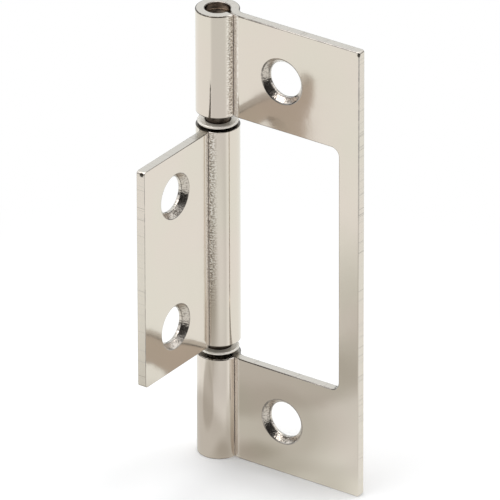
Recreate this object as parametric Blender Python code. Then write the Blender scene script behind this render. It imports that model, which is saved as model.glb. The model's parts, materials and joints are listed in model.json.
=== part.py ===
"""Flush hinge: a small leaf that folds into a window in the large leaf, both rolled round one pin.

Blender 4.5 script, metres, +Z up along the pin.

The two leaves are stamped from one gauge of sheet. Each leaf's sheet dips to its back at the barrel and is rolled
once round the pin, so the middle of the sheet's thickness runs through the pin's axis and the leaves lie in one plane
when the hinge is shut. The hinge is drawn open at OPEN_ANGLE.

The origin is on the large leaf's back face, in the middle of its rail, half way up the hinge. +X runs from the barrel to
the large leaf's free edge, and -Y is the side that the inner faces and the small leaf are on.
"""
import bmesh
import bpy
from math import acos, atan2, cos, pi, radians, sin, sqrt, tan
from mathutils import Vector

MM = 0.001

# Sheet and barrel
SHEET = 1.5 * MM                    # gauge of both leaves
PIN_DIAMETER = 3.8 * MM
PIN_CLEARANCE = 0.05 * MM           # radial play between the pin and what turns on it
BEND_RADIUS = 2.2 * MM              # middle of the sheet, where it dips from leaf to knuckle
SEAM_GAP = 0.1 * MM                 # between the rolled end of the sheet and its own leaf
PIN_RECESS = 1.2 * MM               # the pin stops this far inside each end of the barrel
PIN_CHAMFER = 0.3 * MM

# Large leaf
HEIGHT = 76.2 * MM
LARGE_REACH = 26.7 * MM             # pin axis to free edge
END_KNUCKLE = 17.35 * MM            # length of the top knuckle, and of the bottom one
RAIL_WIDTH = 3.75 * MM              # between the window and the free edge
WINDOW_CORNER = 1.4 * MM
LARGE_CORNER = 0.4 * MM
LARGE_HOLE_INSET = 8.85 * MM        # hole centre to the nearer end of the leaf

# Small leaf
KNUCKLE_SPACE = 2.3 * MM            # from an end knuckle to the middle one, with a washer in it
LEAF_CLEARANCE = 2.5 * MM           # free edge to rail, when the leaf is shut into the window
SMALL_CORNER = 0.5 * MM
SMALL_HOLE_INSET = 7.25 * MM
OPEN_ANGLE = radians(90)            # between the leaves' inner faces

# Screw holes, the same in both leaves
HOLE_DIAMETER = 5.8 * MM
COUNTERSINK_DIAMETER = 7.4 * MM
COUNTERSINK_ANGLE = radians(82)     # between the sides of the cone

# Washers
WASHER_THICKNESS = 0.45 * MM
WASHER_WIDTH = 1.25 * MM            # from its bore to its rim
WASHER_RISE = 0.65 * MM             # from the bottom knuckle to the lower washer
UPPER_WASHER_RISE = 0.35 * MM       # from the middle knuckle to the upper one

# Eased edges of both leaves
EDGE_ROUND = 0.2 * MM

# Smoothness of the round forms
EDGE_STEPS = 2
ROLL_STEP = radians(5)
TURNED_SIDES = 72
HOLE_SIDES = 48
CORNER_STEPS = 6

# Worked out from the sizes above
BORE_RADIUS = PIN_DIAMETER / 2 + PIN_CLEARANCE
KNUCKLE_RADIUS = BORE_RADIUS + SHEET
MIDDLE_RADIUS = BORE_RADIUS + SHEET / 2
BEND_START = sqrt(MIDDLE_RADIUS ** 2 + 2 * MIDDLE_RADIUS * BEND_RADIUS)
BEND_DISTANCE = MIDDLE_RADIUS + BEND_RADIUS
BEND_TURN = atan2(BEND_RADIUS, BEND_START)
WINDOW_HEIGHT = HEIGHT - 2 * END_KNUCKLE
WINDOW_REACH = LARGE_REACH - RAIL_WIDTH
MIDDLE_KNUCKLE = WINDOW_HEIGHT - 2 * KNUCKLE_SPACE      # also the height of the small leaf
SMALL_REACH = WINDOW_REACH - LEAF_CLEARANCE
HOLE_REACH = (BEND_START + SMALL_REACH) / 2             # the holes run down the middle of the small leaf's flat
RAIL_MIDDLE = LARGE_REACH - RAIL_WIDTH / 2
CUT_MARGIN = 1.0 * MM
PIN_AXIS = Vector((-RAIL_MIDDLE, -SHEET / 2, 0))

NICKEL = (0.72, 0.68, 0.62, 1)
BARE_STEEL = (0.20, 0.17, 0.15, 1)


def clear_scene():
    for old in list(bpy.data.objects):
        bpy.data.objects.remove(old, do_unlink=True)


def metal(name, color, roughness):
    material = bpy.data.materials.new(name)
    material.use_nodes = True
    shader = material.node_tree.nodes["Principled BSDF"]
    shader.inputs["Base Color"].default_value = color
    shader.inputs["Metallic"].default_value = 1.0
    shader.inputs["Roughness"].default_value = roughness
    material.diffuse_color = color
    return material


def empty(name, location=(0, 0, 0), parent=None):
    holder = bpy.data.objects.new(name, None)
    holder.location = location
    holder.parent = parent
    bpy.context.collection.objects.link(holder)
    return holder


def add_object(name, shape, parent, material=None):
    """Turns a bmesh into an object, shaded smooth with its real edges kept sharp."""
    bmesh.ops.recalc_face_normals(shape, faces=shape.faces)
    mesh = bpy.data.meshes.new(name)
    shape.to_mesh(mesh)
    shape.free()
    mesh.shade_smooth()
    mesh.set_sharp_from_angle(angle=radians(30))
    thing = bpy.data.objects.new(name, mesh)
    bpy.context.collection.objects.link(thing)
    thing.parent = parent
    if material:
        mesh.materials.append(material)
    return thing


def arc(center, radius, start, end, step=ROLL_STEP):
    """Points on a round arc, both ends included."""
    count = max(2, round(abs(end - start) / step))
    angles = [start + (end - start) * k / count for k in range(count + 1)]
    return [(center[0] + radius * cos(a), center[1] + radius * sin(a)) for a in angles]


def roll_end_angle():
    """Where the rolled sheet stops: its outer corner is SEAM_GAP short of the dip in its own leaf."""
    reach = BEND_RADIUS + SHEET / 2 + SEAM_GAP
    opening = (KNUCKLE_RADIUS ** 2 + BEND_DISTANCE ** 2 - reach ** 2) / (2 * KNUCKLE_RADIUS * BEND_DISTANCE)
    return acos(opening) - BEND_TURN


def sheet_outline(reach):
    """Section of a leaf square to the pin: x runs out along the leaf, y towards the leaf's inner face."""
    half = SHEET / 2
    bend = (BEND_START, -BEND_RADIUS)
    pin = (0, 0)
    roll_start = -BEND_TURN
    roll_end = roll_end_angle() - 2 * pi
    outline = [(reach, half)]
    outline += arc(bend, BEND_RADIUS + half, pi / 2, pi - BEND_TURN)
    outline += arc(pin, BORE_RADIUS, roll_start, roll_end)[1:]
    outline += arc(pin, KNUCKLE_RADIUS, roll_end, roll_start)
    outline += arc(bend, BEND_RADIUS - half, pi - BEND_TURN, pi / 2)[1:]
    outline += [(reach, -half)]
    return outline


def rolled_sheet(reach, height, corner, inner_side):
    """Extrudes the leaf's section over its height. inner_side is -1 where the inner face looks to -Y, else 1."""
    shape = bmesh.new()
    rim = [shape.verts.new((x, inner_side * y, -height / 2)) for x, y in sheet_outline(reach)]
    base = shape.faces.new(rim)
    grown = bmesh.ops.extrude_face_region(shape, geom=[base])
    risen = [v for v in grown["geom"] if isinstance(v, bmesh.types.BMVert)]
    bmesh.ops.translate(shape, verts=risen, vec=(0, 0, height))
    on_free_edge = [e for e in shape.edges
                    if all(abs(v.co.x - reach) < 1e-7 for v in e.verts)
                    and abs(e.verts[0].co.z - e.verts[1].co.z) < 1e-7]
    bmesh.ops.bevel(shape, geom=on_free_edge, offset=corner, segments=CORNER_STEPS, profile=0.5,
                    affect="EDGES", clamp_overlap=True)
    return shape


def turned(outline, sides=TURNED_SIDES):
    """Solid of revolution about Z from a closed outline of (radius, height) points; radius 0 closes an end."""
    shape = bmesh.new()
    rings = []
    for radius, height in outline:
        if radius == 0:
            rings.append([shape.verts.new((0, 0, height))])
            continue
        angles = [2 * pi * k / sides for k in range(sides)]
        rings.append([shape.verts.new((radius * cos(a), radius * sin(a), height)) for a in angles])
    for ring, following in zip(rings, rings[1:] + rings[:1]):
        if len(ring) == 1 and len(following) == 1:
            continue
        for k in range(sides):
            corners = [ring[k % len(ring)], ring[(k + 1) % len(ring)],
                       following[(k + 1) % len(following)], following[k % len(following)]]
            shape.faces.new(list(dict.fromkeys(corners)))
    return shape


def cut(target, cutter):
    """Takes the cutter's shape out of the target."""
    cutter.hide_render = True
    cutter.display_type = "WIRE"
    modifier = target.modifiers.new("cut " + cutter.name, "BOOLEAN")
    modifier.operation = "DIFFERENCE"
    modifier.solver = "EXACT"
    modifier.object = cutter


def ease_edges(target):
    """Rounds every sharp edge that stamping, cutting and drilling have left."""
    modifier = target.modifiers.new("eased edges", "BEVEL")
    modifier.width = EDGE_ROUND
    modifier.segments = EDGE_STEPS
    modifier.limit_method = "ANGLE"
    modifier.angle_limit = radians(35)


def window_cutter(parent):
    """The window, with the stretch of barrel that the middle knuckle needs, and round corners at the rail."""
    shape = bmesh.new()
    left = -KNUCKLE_RADIUS - CUT_MARGIN
    right = WINDOW_REACH
    top = WINDOW_HEIGHT / 2
    outline = [(left, -top)]
    step = pi / 2 / CORNER_STEPS
    outline += arc((right - WINDOW_CORNER, -top + WINDOW_CORNER), WINDOW_CORNER, -pi / 2, 0, step)
    outline += arc((right - WINDOW_CORNER, top - WINDOW_CORNER), WINDOW_CORNER, 0, pi / 2, step)
    outline += [(left, top)]
    depth = KNUCKLE_RADIUS + CUT_MARGIN
    base = shape.faces.new([shape.verts.new((x, -depth, z)) for x, z in outline])
    grown = bmesh.ops.extrude_face_region(shape, geom=[base])
    moved = [v for v in grown["geom"] if isinstance(v, bmesh.types.BMVert)]
    bmesh.ops.translate(shape, verts=moved, vec=(0, 2 * depth, 0))
    return add_object("window cutter", shape, parent)


def screw_hole_cutter(name, parent, height, inner_side):
    """Straight hole with a countersink that opens on the leaf's inner face."""
    straight = HOLE_DIAMETER / 2
    wide = COUNTERSINK_DIAMETER / 2
    slope = tan(COUNTERSINK_ANGLE / 2)
    cone_start = SHEET / 2 - (wide - straight) / slope
    beyond = SHEET / 2 + CUT_MARGIN
    outline = [(0, -beyond), (straight, -beyond), (straight, cone_start), (wide, SHEET / 2),
               (wide + CUT_MARGIN * slope, beyond), (0, beyond)]
    cutter = add_object(name, turned(outline, HOLE_SIDES), parent)
    cutter.location = (HOLE_REACH, 0, height)
    cutter.rotation_euler = (-inner_side * pi / 2, 0, 0)
    return cutter


def make_large_leaf(parent, material):
    inner_side = -1
    sheet = rolled_sheet(LARGE_REACH, HEIGHT, LARGE_CORNER, inner_side)
    leaf = add_object("large_leaf", sheet, parent, material)
    cut(leaf, window_cutter(parent))
    for end, side in (("top", 1), ("bottom", -1)):
        height = side * (HEIGHT / 2 - LARGE_HOLE_INSET)
        cut(leaf, screw_hole_cutter(f"large {end} hole cutter", parent, height, inner_side))
    ease_edges(leaf)


def make_small_leaf(parent, material):
    inner_side = 1
    sheet = rolled_sheet(SMALL_REACH, MIDDLE_KNUCKLE, SMALL_CORNER, inner_side)
    leaf = add_object("small_leaf", sheet, parent, material)
    for end, side in (("top", 1), ("bottom", -1)):
        height = side * (MIDDLE_KNUCKLE / 2 - SMALL_HOLE_INSET)
        cut(leaf, screw_hole_cutter(f"small {end} hole cutter", parent, height, inner_side))
    ease_edges(leaf)


def make_pin(parent, material):
    top = HEIGHT / 2 - PIN_RECESS
    radius = PIN_DIAMETER / 2
    face = radius - PIN_CHAMFER
    outline = [(0, -top), (face, -top), (radius, -top + PIN_CHAMFER),
               (radius, top - PIN_CHAMFER), (face, top), (0, top)]
    add_object("hinge_pin", turned(outline), parent, material)


def make_washer(name, parent, material, bottom):
    rim = BORE_RADIUS + WASHER_WIDTH
    outline = [(BORE_RADIUS, 0), (rim, 0), (rim, WASHER_THICKNESS), (BORE_RADIUS, WASHER_THICKNESS)]
    washer = add_object(name, turned(outline), parent, material)
    washer.location = (0, 0, bottom)


def main():
    clear_scene()
    nickel = metal("nickel plate", NICKEL, 0.25)
    steel = metal("bare steel", BARE_STEEL, 0.45)
    axis = empty("pin axis", PIN_AXIS)
    swing = empty("small leaf swing", parent=axis)
    swing.rotation_euler = (0, 0, -OPEN_ANGLE)
    make_large_leaf(axis, nickel)
    make_small_leaf(swing, nickel)
    make_pin(axis, steel)
    make_washer("lower_washer", axis, nickel, -WINDOW_HEIGHT / 2 + WASHER_RISE)
    make_washer("upper_washer", axis, nickel, MIDDLE_KNUCKLE / 2 + UPPER_WASHER_RISE)


main()
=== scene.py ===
"""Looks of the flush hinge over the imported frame: both leaves, the pin and the washers, finely rounded,
in warm nickel and bare steel, on a plain pale floor in soft studio light."""
import json
from math import acos, atan2, ceil, cos, pi, radians, sin, sqrt, tan

import bmesh
import bpy
from mathutils import Matrix, Vector


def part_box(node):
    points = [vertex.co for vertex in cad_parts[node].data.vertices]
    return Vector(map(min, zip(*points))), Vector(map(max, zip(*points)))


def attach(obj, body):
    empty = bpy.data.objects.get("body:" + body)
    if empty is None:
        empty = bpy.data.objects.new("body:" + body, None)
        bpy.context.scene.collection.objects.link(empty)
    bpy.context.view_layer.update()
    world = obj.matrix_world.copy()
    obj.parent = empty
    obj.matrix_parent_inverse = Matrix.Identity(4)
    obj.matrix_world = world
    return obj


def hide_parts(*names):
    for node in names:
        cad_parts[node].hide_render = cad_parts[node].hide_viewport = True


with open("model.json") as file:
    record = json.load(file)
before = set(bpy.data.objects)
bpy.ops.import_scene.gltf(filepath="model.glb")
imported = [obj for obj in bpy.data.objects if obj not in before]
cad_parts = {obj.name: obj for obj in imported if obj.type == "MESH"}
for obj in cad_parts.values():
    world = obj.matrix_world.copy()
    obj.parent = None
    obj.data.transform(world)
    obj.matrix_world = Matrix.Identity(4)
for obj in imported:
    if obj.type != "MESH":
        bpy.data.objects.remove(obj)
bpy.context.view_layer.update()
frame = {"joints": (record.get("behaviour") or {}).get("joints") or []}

MM = 0.001

# Where the frame has things
LARGE_LOW, LARGE_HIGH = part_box("large_leaf")
SMALL_LOW, SMALL_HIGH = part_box("small_leaf")
PIN_LOW, PIN_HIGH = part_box("hinge_pin")
PIN_AXIS = Vector(frame["joints"][0]["pos_m"])
FLOOR_HEIGHT = LARGE_LOW.z

# Sheet and barrel
SHEET = 1.5 * MM
BEND_RADIUS = 2.2 * MM          # to the middle of the sheet, where it dips from leaf to knuckle
SEAM_GAP = 0.04 * MM            # between the rolled end of the sheet and its own leaf
EDGE_ROUND = 0.2 * MM
BARREL_RADIUS = PIN_AXIS.x - LARGE_LOW.x
BORE_RADIUS = BARREL_RADIUS - SHEET
MIDDLE_RADIUS = BARREL_RADIUS - SHEET / 2
BEND_DISTANCE = MIDDLE_RADIUS + BEND_RADIUS
BEND_START = sqrt(BEND_DISTANCE ** 2 - BEND_RADIUS ** 2)
BEND_TURN = atan2(BEND_RADIUS, BEND_START)

# Large leaf, from the pin's axis out
LARGE_REACH = LARGE_HIGH.x - PIN_AXIS.x
LARGE_HEIGHT = LARGE_HIGH.z - LARGE_LOW.z
LARGE_CORNER = 0.4 * MM
RAIL_WIDTH = 3.75 * MM
END_KNUCKLE = 17.35 * MM
WINDOW_CORNER = 1.4 * MM
LARGE_HOLE_INSET = 8.85 * MM    # from a hole's centre to the nearer end of the leaf

# Small leaf, likewise
SMALL_REACH = PIN_AXIS.y - SMALL_LOW.y
SMALL_HEIGHT = SMALL_HIGH.z - SMALL_LOW.z
SMALL_CORNER = 0.5 * MM
SMALL_HOLE_INSET = 7.25 * MM

# Screw holes, the same in both leaves
HOLE_REACH = (BEND_START + SMALL_REACH) / 2
HOLE_DIAMETER = 5.8 * MM
COUNTERSINK_DIAMETER = 7.4 * MM
COUNTERSINK_ANGLE = radians(82)

# Pin and washers
PIN_CHAMFER = 0.3 * MM
WASHER_ROUND = 0.22 * MM

# Smoothness of the meshes
ROLL_STEP = radians(5)
ROUND_SIDES = 96
CORNER_STEPS = 10
ROUND_STEPS = 3
FLAT_ANGLE = radians(0.1)
SHARP_ANGLE = radians(35)
SMOOTH_ANGLE = radians(40)
CUT_MARGIN = 1.0 * MM
NEAR = 0.002 * MM

# The photograph's view
VIEW_AZIMUTH = radians(35.1)
VIEW_ELEVATION = radians(27.1)
VIEW_ROLL = radians(0.14)
VIEW_DISTANCE = 1842.4 * MM
VIEW_AIM = Vector((5.93 * MM, 0, -1.69 * MM))       # from the pin's axis at mid-height
LENS = 864                                          # mm, on a 36 mm sensor

# Shape and wear of the stamped sheet, and the painted shade on its rims, that only the shading shows, in mm
# on the map of the flat sheet
BOW_RADIUS = 290.0              # of both leaves, which are bowed a little round their inner face
DIMPLE_DEPTH = 0.14             # of the dip that a punched hole leaves round it
DIMPLE_REACH = 7.0
CURL_MARK = 1.3                 # of the rolled end that the die has scuffed
SCUFFED_HEIGHTS = (-14, -4)     # the knuckles' scuffs set in at the first, and are full above the second
RIM_SHADE_HEIGHTS = (-5, 25)      # the same for the painted shade on the rim of the large leaf's free edge

# Places along that map between which something starts or ends softly
BEND = BEND_START / MM
DIP_INNER = (BEND - 1.6, BEND - 1.2)
DIP_OUTER = (BEND - 0.2, BEND + 0.1)
KNUCKLE_END = (BEND - 1.6, BEND - 0.4)
RIM_SHADE_FADE = (2.0, 16.0)
FREE_EDGE = (LARGE_REACH / MM - 0.7, LARGE_REACH / MM - 0.3)

# Dark spots at the upper free corners, and their reach: full, and gone
CORNER_SPOT_DEPTH = 0.45 * MM
CORNER_SPOTS = [(LARGE_HIGH.x, PIN_AXIS.y - SHEET / 2, LARGE_HIGH.z - CORNER_SPOT_DEPTH),
              (PIN_AXIS.x + 0.2 * MM, SMALL_LOW.y, SMALL_HIGH.z - CORNER_SPOT_DEPTH)]
CORNER_SPOT_REACH = (0.25 * MM, 0.45 * MM)

# Colours of the finishes
NICKEL_WARM = (0.672, 0.586, 0.515, 1)
NICKEL_PALE = (0.660, 0.592, 0.510, 1)
NICKEL_SHEARED = (0.66, 0.60, 0.535, 1)
# Painted shade on the ends cut across, which dims what they reflect
NICKEL_END_SHADED = (0.545, 0.50, 0.44, 1)
# Painted light on the rolled end's rounded edge and in the dip, which lightens the seam's valley
SEAM_EDGE_LIGHTENED = (0.92, 0.84, 0.77, 1)
DIP_LIGHTENED = (0.86, 0.78, 0.70, 1)
GLINT = (0.95, 0.90, 0.84, 1)
PIT = (0.20, 0.17, 0.145, 1)
# Painted shade in the gaps by the washers, also used for the dark corner spots
SHADE_AND_SPOT_DARK = (0.07, 0.06, 0.05, 1)
# Painted shade on the rounded edges: by the barrel, and further out
RIM_SHADE_BY_BARREL = (0.08, 0.065, 0.05, 1)
RIM_SHADE_OUTER = (0.40, 0.36, 0.33, 1)
# The washers' nickel, painted paler as light in the shaded gaps between the knuckles
WASHER_PALE = (1.0, 0.94, 0.85, 1)
WASHER_GREY = (0.92, 0.86, 0.77, 1)
# The pin's steel, painted dark as the shade it sits in as well
STEEL_DARK = (0.07, 0.055, 0.045, 1)
STEEL_BROWN = (0.22, 0.18, 0.145, 1)
BLACK = (0, 0, 0, 1)
WHITE = (1, 1, 1, 1)

# The floor, as it is lit and as the metal sees it
FLOOR_SIZE = 6.0
FLOOR_LIT = (0.96, 0.96, 0.96, 1)
FLOOR_SEEN = (1.09, 1.14, 1.14, 1)
FLOOR_CLEAR = (10 * MM, 90 * MM)        # from the pin: the object's shadow fades out between these
FLOOR_END = (0.25, 0.6)                 # from the pin: it sinks into the dark of the room between these

# Its greyer front before the camera, and the glow in that front, laid out as the pools are
FLOOR_FRONT = (0.86, 0.89, 0.89, 1)
FRONT_AZIMUTH = VIEW_AZIMUTH + radians(4)
FRONT_SPREAD = (radians(44), radians(30))           # to either side: it starts, is full
FRONT_START = (4 * MM, 30 * MM)                     # from the pin: it starts, is full
FRONT_GLOW = (46, -57, 15, 50)

# Pools of shade on it, in mm: x and y from the pin, reach where full, reach where it starts, strength
FLOOR_POOL = (0.505, 0.50, 0.455, 1)
POOLS = [(-5, -3, 15, 23, 0.61), (16, 4, 7, 13, 0.47), (-2, -37, 7, 12, 0.39), (3, -63, 7, 45, 1.0),
         (5, -4, 1, 6, 0.9), (-9, -23, 10, 14, 0.69)]

# Room and lamps
SURROUND = (1.15, 1.21, 1.26, 1)
AMBIENT = 0.55
DARK_SIDE = (0.03, 0.03, 0.03, 1)
DARK_SPREAD = (radians(75), radians(20))            # from the camera's direction: the dark starts, is full
ROOM_DARK = (radians(4), radians(16))               # elevation: dark below the first, pale above the second
LAMP_SIZE = 0.5
LAMP_POWER = 2.1
KEY_LAMP = (radians(170), radians(78), 0.7)         # azimuth, elevation and distance
FILL_LAMP = (radians(-30), radians(60), 0.8)


def towards(azimuth, elevation):
    """The direction from the hinge to something at this azimuth and elevation."""
    return Vector((sin(azimuth) * cos(elevation), -cos(azimuth) * cos(elevation), sin(elevation)))


TOWARDS_CAMERA = towards(VIEW_AZIMUTH, VIEW_ELEVATION)


def deselect_all():
    bpy.ops.object.select_all(action="DESELECT")


def take(piece):
    """Makes one piece the selected and active object."""
    deselect_all()
    piece.select_set(True)
    bpy.context.view_layer.objects.active = piece


def edit(piece):
    take(piece)
    bpy.ops.object.mode_set(mode="EDIT")


def leave_edit():
    bpy.ops.object.mode_set(mode="OBJECT")


def round_corners(piece, x, radius):
    """In edit mode, rounds the corners at this x, whose edges run through the thickness."""
    bpy.ops.mesh.select_mode(type="EDGE")
    bpy.ops.mesh.select_all(action="DESELECT")
    shape = bmesh.from_edit_mesh(piece.data)
    for edge in shape.edges:
        start, end = [vertex.co for vertex in edge.verts]
        if max(abs(start.x - x), abs(end.x - x), abs(start.z - end.z)) < NEAR:
            edge.select_set(True)
    bmesh.update_edit_mesh(piece.data)
    bpy.ops.mesh.bevel(offset=radius, segments=CORNER_STEPS, profile=0.5, affect="EDGES")


def add_modifier(piece, kind, **settings):
    """Adds a modifier, sets it and applies it."""
    take(piece)
    modifier = piece.modifiers.new(kind.lower(), kind)
    for name, value in settings.items():
        setattr(modifier, name, value)
    bpy.ops.object.modifier_apply(modifier=modifier.name)


def cut(piece, cutter):
    """Takes the cutter's shape out of the piece, and the cutter away."""
    add_modifier(piece, "BOOLEAN", operation="DIFFERENCE", solver="EXACT", object=cutter)
    bpy.data.objects.remove(cutter, do_unlink=True)


def apply_place(piece):
    take(piece)
    bpy.ops.object.transform_apply(location=True, rotation=True, scale=True)


def roll_end_angle():
    """Where the rolled sheet stops: its outer corner is SEAM_GAP short of the dip in its own leaf."""
    reach = BEND_RADIUS + SHEET / 2 + SEAM_GAP
    opening = (BARREL_RADIUS ** 2 + BEND_DISTANCE ** 2 - reach ** 2) / (2 * BARREL_RADIUS * BEND_DISTANCE)
    return acos(opening) - BEND_TURN


def rolled_sheet(name, reach, height, corner):
    """A leaf's blank, drawn out along X from the pin at the origin, with its inner face to +Y.

    The free edge is extruded to the dip, then spun round the dip's centre and round the pin."""
    deselect_all()
    bpy.ops.mesh.primitive_plane_add(size=1, location=(reach, 0, 0), rotation=(0, pi / 2, 0))
    leaf = bpy.context.object
    leaf.name = leaf.data.name = name
    leaf.scale = (height, SHEET, 1)
    apply_place(leaf)
    edit(leaf)
    bpy.ops.mesh.select_all(action="SELECT")
    bpy.ops.mesh.extrude_region_move(TRANSFORM_OT_translate={"value": (BEND_START - reach, 0, 0)})
    dip = pi / 2 - BEND_TURN
    bpy.ops.mesh.spin(steps=ceil(dip / ROLL_STEP), angle=-dip,
                      center=(BEND_START, -BEND_RADIUS, 0), axis=(0, 0, 1))
    roll = 2 * pi - roll_end_angle() - BEND_TURN
    bpy.ops.mesh.spin(steps=ceil(roll / ROLL_STEP), angle=roll, center=(0, 0, 0), axis=(0, 0, 1))
    round_corners(leaf, reach, corner)
    bpy.ops.mesh.select_all(action="SELECT")
    bpy.ops.mesh.normals_make_consistent(inside=False)
    leave_edit()
    return leaf


def window_cutter():
    """The window and the stretch of barrel that the middle knuckle needs, with round corners at the rail."""
    left = -BARREL_RADIUS - CUT_MARGIN
    right = LARGE_REACH - RAIL_WIDTH
    deselect_all()
    bpy.ops.mesh.primitive_cube_add(size=1, location=((left + right) / 2, 0, 0))
    cutter = bpy.context.object
    cutter.scale = (right - left, 2 * (BARREL_RADIUS + CUT_MARGIN), LARGE_HEIGHT - 2 * END_KNUCKLE)
    apply_place(cutter)
    edit(cutter)
    round_corners(cutter, right, WINDOW_CORNER)
    leave_edit()
    return cutter


def drill(leaf, height):
    """Cuts a straight hole, countersunk at the inner face, with a disc that is drawn up in three steps."""
    straight = HOLE_DIAMETER / 2
    wide = COUNTERSINK_DIAMETER / 2
    slope = tan(COUNTERSINK_ANGLE / 2)
    cone_start = SHEET / 2 - (wide - straight) / slope
    beyond = SHEET / 2 + CUT_MARGIN
    deselect_all()
    bpy.ops.mesh.primitive_circle_add(vertices=ROUND_SIDES, radius=straight, fill_type="NGON",
                                      location=(HOLE_REACH, -beyond, height), rotation=(pi / 2, 0, 0))
    cutter = bpy.context.object
    apply_place(cutter)
    edit(cutter)
    bpy.ops.mesh.select_all(action="SELECT")
    rings = [(-beyond, straight), (cone_start, straight), (SHEET / 2, wide),
             (beyond, wide + CUT_MARGIN * slope)]
    for (y, radius), (next_y, next_radius) in zip(rings, rings[1:]):
        bpy.ops.mesh.extrude_region_move(TRANSFORM_OT_translate={"value": (0, next_y - y, 0)})
        spread = next_radius / radius
        bpy.ops.transform.resize(value=(spread, 1, spread), center_override=(HOLE_REACH, next_y, height))
    bpy.ops.mesh.select_all(action="SELECT")
    bpy.ops.mesh.normals_make_consistent(inside=False)
    leave_edit()
    cut(leaf, cutter)


def sheet_length(x, y):
    """How far a point of the leaf lies along the middle of the sheet. The flat part keeps its x."""
    if x >= BEND_START:
        return x
    dip_angle = atan2(y + BEND_RADIUS, x - BEND_START)
    if dip_angle < 0:
        dip_angle += 2 * pi
    near_dip = sqrt((x - BEND_START) ** 2 + (y + BEND_RADIUS) ** 2) < BEND_RADIUS + SHEET / 2 + NEAR
    dip_end = pi - BEND_TURN
    if near_dip and pi / 2 <= dip_angle <= dip_end + NEAR:
        return BEND_START - BEND_RADIUS * (dip_angle - pi / 2)
    round_pin = (-BEND_TURN - atan2(y, x)) % (2 * pi)
    return BEND_START - BEND_RADIUS * (dip_end - pi / 2) - MIDDLE_RADIUS * round_pin


def curl_end():
    """The flat sheet's other end, which the roll ends with, in the map's millimetres."""
    dip = BEND_RADIUS * (pi / 2 - BEND_TURN)
    roll = MIDDLE_RADIUS * (2 * pi - roll_end_angle() - BEND_TURN)
    return (BEND_START - dip - roll) / MM


def mark_sheet(leaf, up, shut_height, painted_dark):
    """Lays a map of the flat sheet over the leaf, in mm, and marks the faces that shears or drills have cut.

    Heights on the map run up the hinge, so up is -1 for a leaf that is turned over later. Nearer the middle
    than shut_height the knuckles' ends face a washer, and are painted dark as the shade in that gap: the ends
    that face up by as much as painted_dark says, and the rounded edges that face down fully."""
    mesh = leaf.data
    flat_sheet = mesh.uv_layers.new(name="flat_sheet")
    for loop in mesh.loops:
        x, y, z = mesh.vertices[loop.vertex_index].co
        flat_sheet.data[loop.index].uv = (sheet_length(x, y) / MM, z * up / MM)
    marks = ("sheared", "end_cut", "gap_shade")
    for mark in marks:
        mesh.attributes.new(mark, "FLOAT", "FACE")
    sheared, end_cut, gap_shade = [mesh.attributes[mark].data for mark in marks]
    for face in mesh.polygons:
        across = abs(face.normal.z) > 0.8
        along = face.center.x > BEND_START and abs(face.normal.y) < 0.8
        sheared[face.index].value = float(across or along)
        end_cut[face.index].value = float(across)
        facing_up = face.normal.z * up
        if abs(face.center.z) < shut_height:
            gap_shade[face.index].value = painted_dark * (facing_up > 0.9) + float(-0.98 < facing_up < -0.2)


def finish_mesh(piece, round_width, finish):
    """Clears what the cuts left, rounds the sharp edges and smooths the shading, with flat faces kept flat.

    The rounded edges are told by a second slot of the same finish until they are marked as the rim."""
    edit(piece)
    bpy.ops.mesh.select_all(action="SELECT")
    bpy.ops.mesh.remove_doubles(threshold=NEAR)
    bpy.ops.mesh.dissolve_degenerate(threshold=NEAR)
    bpy.ops.mesh.dissolve_limited(angle_limit=FLAT_ANGLE)
    leave_edit()
    piece.data.materials.append(finish)
    piece.data.materials.append(finish)
    add_modifier(piece, "BEVEL", width=round_width, segments=ROUND_STEPS, limit_method="ANGLE",
                 angle_limit=SHARP_ANGLE, face_strength_mode="FSTR_ALL", material=1)
    take(piece)
    bpy.ops.object.shade_smooth_by_angle(angle=SMOOTH_ANGLE)
    add_modifier(piece, "WEIGHTED_NORMAL", mode="FACE_AREA", use_face_influence=True, keep_sharp=True)
    rim = piece.data.attributes.new("rim", "FLOAT", "FACE")
    for face in piece.data.polygons:
        rim.data[face.index].value = face.material_index
    piece.data.materials.pop(index=1)


def stand_for(piece, node, body):
    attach(piece, body)
    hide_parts(node)


def make_large_leaf(finish):
    leaf = rolled_sheet("large_leaf_plated", LARGE_REACH, LARGE_HEIGHT, LARGE_CORNER)
    cut(leaf, window_cutter())
    for side in (1, -1):
        drill(leaf, side * (LARGE_HEIGHT / 2 - LARGE_HOLE_INSET))
    finish_mesh(leaf, EDGE_ROUND, finish)
    mark_sheet(leaf, up=-1, shut_height=(LARGE_HEIGHT - END_KNUCKLE) / 2, painted_dark=0.7)
    leaf.rotation_euler = (pi, 0, 0)
    leaf.location = PIN_AXIS
    apply_place(leaf)
    stand_for(leaf, "large_leaf", "large_leaf")


def make_small_leaf(finish):
    leaf = rolled_sheet("small_leaf_plated", SMALL_REACH, SMALL_HEIGHT, SMALL_CORNER)
    for side in (1, -1):
        drill(leaf, side * (SMALL_HEIGHT / 2 - SMALL_HOLE_INSET))
    finish_mesh(leaf, EDGE_ROUND, finish)
    mark_sheet(leaf, up=1, shut_height=SMALL_HEIGHT, painted_dark=1.0)
    leaf.rotation_euler = (0, 0, -pi / 2)
    leaf.location = PIN_AXIS
    apply_place(leaf)
    stand_for(leaf, "small_leaf", "small_leaf")


def make_pin(finish):
    deselect_all()
    bpy.ops.mesh.primitive_cylinder_add(vertices=ROUND_SIDES, radius=(PIN_HIGH.x - PIN_LOW.x) / 2,
                                        depth=PIN_HIGH.z - PIN_LOW.z, location=PIN_AXIS)
    pin = bpy.context.object
    pin.name = pin.data.name = "hinge_pin_turned"
    apply_place(pin)
    finish_mesh(pin, PIN_CHAMFER, finish)
    stand_for(pin, "hinge_pin", "large_leaf")


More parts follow.
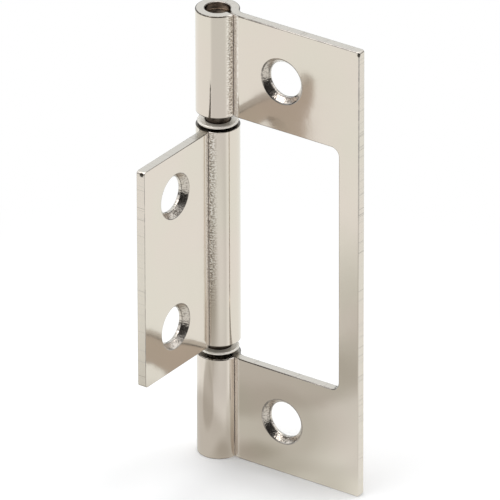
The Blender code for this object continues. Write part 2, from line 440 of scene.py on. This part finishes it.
def make_washer(node, finish):
    """A disc, inset and opened to the bore, then drawn up to its thickness."""
    low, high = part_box(node)
    rim = (high.x - low.x) / 2
    deselect_all()
    bpy.ops.mesh.primitive_circle_add(vertices=ROUND_SIDES, radius=rim, fill_type="NGON",
                                      location=(PIN_AXIS.x, PIN_AXIS.y, low.z))
    washer = bpy.context.object
    washer.name = washer.data.name = node + "_plated"
    apply_place(washer)
    edit(washer)
    bpy.ops.mesh.select_all(action="SELECT")
    bpy.ops.mesh.inset(thickness=rim - BORE_RADIUS, depth=0)
    bpy.ops.mesh.delete(type="FACE")
    bpy.ops.mesh.select_all(action="SELECT")
    bpy.ops.mesh.extrude_region_move(TRANSFORM_OT_translate={"value": (0, 0, high.z - low.z)})
    bpy.ops.mesh.select_all(action="SELECT")
    bpy.ops.mesh.normals_make_consistent(inside=False)
    leave_edit()
    finish_mesh(washer, WASHER_ROUND, finish)
    stand_for(washer, node, "large_leaf")


class Channel:
    """A socket of a finish's node tree that Python's arithmetic works on."""

    def __init__(self, finish, socket):
        self.finish = finish
        self.socket = socket

    def math(self, operation, first, second):
        return self.finish.node("ShaderNodeMath", {"operation": operation}, {0: first, 1: second})

    def __add__(self, other):
        return self.math("ADD", self, other)

    __radd__ = __add__

    def __sub__(self, other):
        return self.math("SUBTRACT", self, other)

    def __rsub__(self, other):
        return self.math("SUBTRACT", other, self)

    def __mul__(self, other):
        return self.math("MULTIPLY", self, other)

    __rmul__ = __mul__

    def at_least(self, low):
        return self.math("MAXIMUM", self, low)

    def between(self, start, end):
        """0 up to start, 1 from end on, with a soft step between them."""
        return self.finish.node("ShaderNodeMapRange", {"interpolation_type": "SMOOTHSTEP"},
                                {"Value": self, "From Min": start, "From Max": end})


class Finish:
    """A node tree in the making, of a material or of the world."""

    def __init__(self, owner):
        owner.use_nodes = True
        self.owner = owner
        self.tree = owner.node_tree

    def node(self, kind, settings=None, sockets=None, output=0):
        """Adds a node with its settings, gives its sockets their values or links, and returns one output."""
        made = self.tree.nodes.new(kind)
        for name, value in (settings or {}).items():
            setattr(made, name, value)
        for name, value in (sockets or {}).items():
            self.feed(made.inputs[name], value)
        return Channel(self, made.outputs[output])

    def feed(self, socket, value):
        if isinstance(value, Channel):
            self.tree.links.new(value.socket, socket)
        else:
            socket.default_value = value

    def shader(self):
        return self.tree.nodes["Principled BSDF"]

    def noise(self, place, scale, detail=2.0, roughness=0.5):
        return self.node("ShaderNodeTexNoise", {},
                         {"Vector": place, "Scale": scale, "Detail": detail, "Roughness": roughness})

    def mark(self, name):
        """What a face of the mesh is marked with under this name."""
        return self.node("ShaderNodeAttribute", {"attribute_name": name}, output=2)

    def vector_math(self, operation, first, second=(0, 0, 0)):
        """Vector Math with a number as its result."""
        return self.node("ShaderNodeVectorMath", {"operation": operation}, {0: first, 1: second}, 1)

    def mix(self, factor, first, second):
        """One colour turning into another."""
        return self.node("ShaderNodeMix", {"data_type": "RGBA"}, {0: factor, 6: first, 7: second}, 2)

    def blend(self, factor, first, second):
        """One shader turning into another."""
        return self.node("ShaderNodeMixShader", {}, {0: factor, 1: first, 2: second})


def nickel_plate():
    """Smooth warm nickel over rolled sheet, streaked through the sheet's thickness on the sheared edges."""
    finish = Finish(bpy.data.materials.new("nickel_plate"))
    shader = finish.shader()
    place = finish.node("ShaderNodeTexCoord", output=3)
    sheet = finish.node("ShaderNodeUVMap", {"uv_map": "flat_sheet"})
    along = finish.node("ShaderNodeSeparateXYZ", {}, {0: sheet})
    height = finish.node("ShaderNodeSeparateXYZ", {}, {0: sheet}, 1)
    sheared, end_cut, rim, gap_shade = map(finish.mark, ("sheared", "end_cut", "rim", "gap_shade"))
    broad = finish.noise(sheet, 0.07, 1.5)
    cloud = finish.noise(sheet, 0.3, 3.0)
    streak = finish.noise(sheet, 5.0, 3.0, 0.6)
    grain = finish.noise(sheet, 9.0)
    speck = finish.noise(sheet, 3.6, 1.0)

    # Where the die has scuffed the sheet: its rolled end, and the dip from leaf to knuckle
    plain = 1 - sheared
    curl = 1 - along.between(curl_end(), curl_end() + CURL_MARK)
    dip = along.between(*DIP_INNER) * (1 - along.between(*DIP_OUTER))
    upper = height.between(*SCUFFED_HEIGHTS)
    scuffed = (curl + dip) * plain * upper

    # The leaf's bow, and the dips round its holes, alike above and below the middle
    run = (along - BEND).at_least(0)
    shape = run * run * (0.5 / BOW_RADIUS)
    from_middle = finish.node("ShaderNodeMath", {"operation": "ABSOLUTE"}, {0: height})
    either_end = finish.node("ShaderNodeCombineXYZ", {}, {0: along, 1: from_middle})
    countersink = COUNTERSINK_DIAMETER / 2 / MM
    bored = 0
    for inset, leaf_height in ((LARGE_HOLE_INSET, LARGE_HEIGHT), (SMALL_HOLE_INSET, SMALL_HEIGHT)):
        hole = (HOLE_REACH / MM, (leaf_height / 2 - inset) / MM, 0)
        away = finish.vector_math("DISTANCE", either_end, hole)
        shape = shape + away.between(0, DIMPLE_REACH) * DIMPLE_DEPTH
        bored = bored + sheared * (1 - away.between(countersink, countersink + 0.3))
    shape = (shape + cloud * 0.012) * plain

    # Bright and dark specks
    glints = (1 - speck.between(0.42, 0.48)) * scuffed
    pits = speck.between(0.52, 0.57) * (curl * 0.8 + dip * 0.3) * plain * upper
    pits = pits + streak.between(0.60, 0.68) * sheared * 0.6 * (1 - bored)
    pits = pits + speck.between(0.52, 0.58) * bored * 0.5
    color = finish.mix(broad.between(0.35, 0.65), NICKEL_WARM, NICKEL_PALE)
    color = finish.mix(sheared * streak.between(0.4, 0.75), color, NICKEL_SHEARED)
    # The ends cut across are painted darker: painted shade
    color = finish.mix(end_cut, color, NICKEL_END_SHADED)
    color = finish.mix(glints, color, GLINT)
    color = finish.mix(pits, color, PIT)

    # Painted shade on the rounded edges, darkest by the barrel, which leaves out the lower part of the large
    # leaf's free edge
    rim_shade = rim * (1 - curl) * (0.3 + 0.3 * speck.between(0.42, 0.50) + 0.4 * cloud.between(0.42, 0.55))
    rim_shade = rim_shade * (1 - along.between(*FREE_EDGE) * (1 - height.between(*RIM_SHADE_HEIGHTS)))
    color = finish.mix(rim_shade, color, finish.mix(along.between(*RIM_SHADE_FADE), RIM_SHADE_BY_BARREL, RIM_SHADE_OUTER))

    # The curl and dip, made less metallic and painted paler: painted light in the shaded valley of the seam
    finish.feed(shader.inputs["Metallic"], 1 - (rim * curl + dip * 0.6) * plain * 0.6)
    color = finish.mix(rim * curl * plain, color, SEAM_EDGE_LIGHTENED)
    color = finish.mix(dip * 0.6 * plain, color, DIP_LIGHTENED)
    # Painted shade in the gaps where the knuckles' ends face a washer, and the dark corner spots
    painted_dark = gap_shade * 0.9 * (1 - along.between(*KNUCKLE_END))
    for spot in CORNER_SPOTS:
        painted_dark = painted_dark + (1 - finish.vector_math("DISTANCE", place, spot).between(*CORNER_SPOT_REACH))
    finish.feed(shader.inputs["Base Color"], finish.mix(painted_dark, color, SHADE_AND_SPOT_DARK))
    finish.feed(shader.inputs["Roughness"], 0.08 + cloud * 0.06 + sheared * streak * 0.25 + scuffed * 0.15)

    fine = grain * 0.25 + streak * (sheared + scuffed) + speck * (scuffed + bored) * 22.0
    formed = finish.node("ShaderNodeBump", {}, {"Height": shape, "Distance": MM})
    marks = finish.node("ShaderNodeBump", {}, {"Height": fine, "Distance": 0.002 * MM, "Normal": formed})
    finish.feed(shader.inputs["Normal"], marks)
    return finish.owner


def washer_plate():
    """Matt nickel on a tumbled washer, which scatters the light, and painted paler than nickel as light in
    the shaded gaps.
    """
    finish = Finish(bpy.data.materials.new("nickel_washer"))
    shader = finish.shader()
    shader.inputs["Metallic"].default_value = 0.4
    place = finish.node("ShaderNodeTexCoord", output=3)
    cloud = finish.noise(place, 400.0, 3.0)
    grain = finish.noise(place, 3000.0)
    finish.feed(shader.inputs["Base Color"], finish.mix(cloud, WASHER_PALE, WASHER_GREY))
    finish.feed(shader.inputs["Roughness"], 0.3 + cloud * 0.12)
    marks = finish.node("ShaderNodeBump", {}, {"Height": grain, "Distance": 0.003 * MM})
    finish.feed(shader.inputs["Normal"], marks)
    return finish.owner


def bare_steel():
    """The pin's unplated steel, browned and blotched by the bath, and painted darker still as the shade of
    the recess and gaps where it shows.
    """
    finish = Finish(bpy.data.materials.new("bare_steel"))
    shader = finish.shader()
    shader.inputs["Metallic"].default_value = 1.0
    place = finish.node("ShaderNodeTexCoord", output=3)
    blotch = finish.noise(place, 900.0, 3.0)
    grain = finish.noise(place, 4000.0, 3.0)
    finish.feed(shader.inputs["Base Color"], finish.mix(blotch.between(0.35, 0.7), STEEL_DARK, STEEL_BROWN))
    finish.feed(shader.inputs["Roughness"], 0.28 + blotch * 0.25)
    marks = finish.node("ShaderNodeBump", {}, {"Height": blotch + grain * 0.4, "Distance": 0.03 * MM})
    finish.feed(shader.inputs["Normal"], marks)
    return finish.owner


def floor_finish():
    """Plain white floor. Away from the object it is pure white to the camera, and it is open from below.

    The metal sees it as a studio table: light all round, greyer in front and in the small leaf's shade."""
    finish = Finish(bpy.data.materials.new("pale_floor"))
    place = finish.node("ShaderNodeNewGeometry")
    foot = Vector((PIN_AXIS.x, PIN_AXIS.y, FLOOR_HEIGHT))
    from_foot = finish.node("ShaderNodeVectorMath", {"operation": "SUBTRACT"}, {0: place, 1: tuple(foot)})
    heading = finish.node("ShaderNodeVectorMath", {"operation": "NORMALIZE"}, {0: from_foot})
    away = finish.vector_math("LENGTH", from_foot)

    def near_to(x, y, full, start):
        """1 up to full and 0 from start on, in mm from a place that is x and y mm from the pin."""
        spot = foot + Vector((x * MM, y * MM, 0))
        return 1 - finish.vector_math("DISTANCE", place, tuple(spot)).between(full * MM, start * MM)

    front = finish.vector_math("DOT_PRODUCT", heading, tuple(towards(FRONT_AZIMUTH, 0)))
    front = front.between(*map(cos, FRONT_SPREAD)) * away.between(*FRONT_START)
    seen = finish.mix(front * (1 - near_to(*FRONT_GLOW) * 0.5), FLOOR_SEEN, FLOOR_FRONT)
    for *area, strength in POOLS:
        seen = finish.mix(near_to(*area) * strength, seen, FLOOR_POOL)
    seen = finish.mix(away.between(*FLOOR_END), seen, DARK_SIDE)

    # What the metal sees only glows, so neither the lamps nor the object's shadow change it
    glowing = finish.shader()
    glowing.inputs["Base Color"].default_value = BLACK
    glowing.inputs["Specular IOR Level"].default_value = 0
    glowing.inputs["Emission Strength"].default_value = 1.0
    finish.feed(glowing.inputs["Emission Color"], seen)
    lit = finish.node("ShaderNodeBsdfDiffuse", {}, {"Color": FLOOR_LIT})
    white = finish.node("ShaderNodeEmission", {}, {"Color": WHITE, "Strength": 1.0})
    to_camera = finish.node("ShaderNodeLightPath")
    to_glossy = finish.node("ShaderNodeLightPath", output=3)
    from_below = finish.node("ShaderNodeNewGeometry", output=6)
    surface = finish.blend(to_camera * away.between(*FLOOR_CLEAR), lit, white)
    surface = finish.blend(to_glossy, surface, Channel(finish, glowing.outputs[0]))
    surface = finish.blend(from_below, surface, finish.node("ShaderNodeBsdfTransparent"))
    finish.feed(finish.tree.nodes["Material Output"].inputs["Surface"], surface)
    return finish.owner


def make_floor():
    deselect_all()
    bpy.ops.mesh.primitive_plane_add(size=FLOOR_SIZE, location=(0, 0, FLOOR_HEIGHT))
    floor = bpy.context.object
    floor.name = "floor"
    floor.data.materials.append(floor_finish())


def make_world():
    """White to the camera and pale all round to the metal, but for the dark side where the camera stands."""
    world = bpy.data.worlds.new("studio")
    bpy.context.scene.world = world
    finish = Finish(world)
    direction = finish.node("ShaderNodeTexCoord")
    facing = finish.vector_math("DOT_PRODUCT", direction, tuple(TOWARDS_CAMERA))
    rise = finish.vector_math("DOT_PRODUCT", direction, (0, 0, 1))
    bright = rise.between(*map(sin, ROOM_DARK)) * (1 - facing.between(*map(cos, DARK_SPREAD)))

    def background(color, strength):
        return finish.node("ShaderNodeBackground", {}, {"Color": color, "Strength": strength})

    seen = finish.blend(bright, background(DARK_SIDE, 1.0), background(SURROUND, 1.0))
    seen = finish.blend(finish.node("ShaderNodeLightPath"), seen, background(WHITE, 1.0))
    seen = finish.blend(finish.node("ShaderNodeLightPath", output=2), seen, background(WHITE, AMBIENT))
    finish.feed(finish.tree.nodes["World Output"].inputs["Surface"], seen)


def make_lamp(name, azimuth, elevation, distance):
    """A square soft box that looks at the middle of the hinge."""
    lamp = bpy.data.lights.new(name, "AREA")
    lamp.shape = "SQUARE"
    lamp.size = LAMP_SIZE
    lamp.energy = LAMP_POWER
    holder = bpy.data.objects.new(name, lamp)
    bpy.context.scene.collection.objects.link(holder)
    direction = towards(azimuth, elevation)
    holder.location = direction * distance
    holder.rotation_euler = direction.to_track_quat("Z", "Y").to_euler()


def make_camera():
    camera = bpy.data.cameras.new("camera")
    camera.lens = LENS
    holder = bpy.data.objects.new("camera", camera)
    bpy.context.scene.collection.objects.link(holder)
    aim = Vector((PIN_AXIS.x, PIN_AXIS.y, 0)) + VIEW_AIM
    holder.location = aim + TOWARDS_CAMERA * VIEW_DISTANCE
    turn = TOWARDS_CAMERA.to_track_quat("Z", "Y").to_matrix() @ Matrix.Rotation(-VIEW_ROLL, 3, "Z")
    holder.rotation_euler = turn.to_euler()
    bpy.context.scene.camera = holder


def main():
    nickel = nickel_plate()
    washer = washer_plate()
    make_large_leaf(nickel)
    make_small_leaf(nickel)
    make_pin(bare_steel())
    make_washer("upper_washer", washer)
    make_washer("lower_washer", washer)
    make_floor()
    make_world()
    make_lamp("key", *KEY_LAMP)
    make_lamp("fill", *FILL_LAMP)
    make_camera()
    bpy.context.scene.view_settings.view_transform = "Standard"


main()
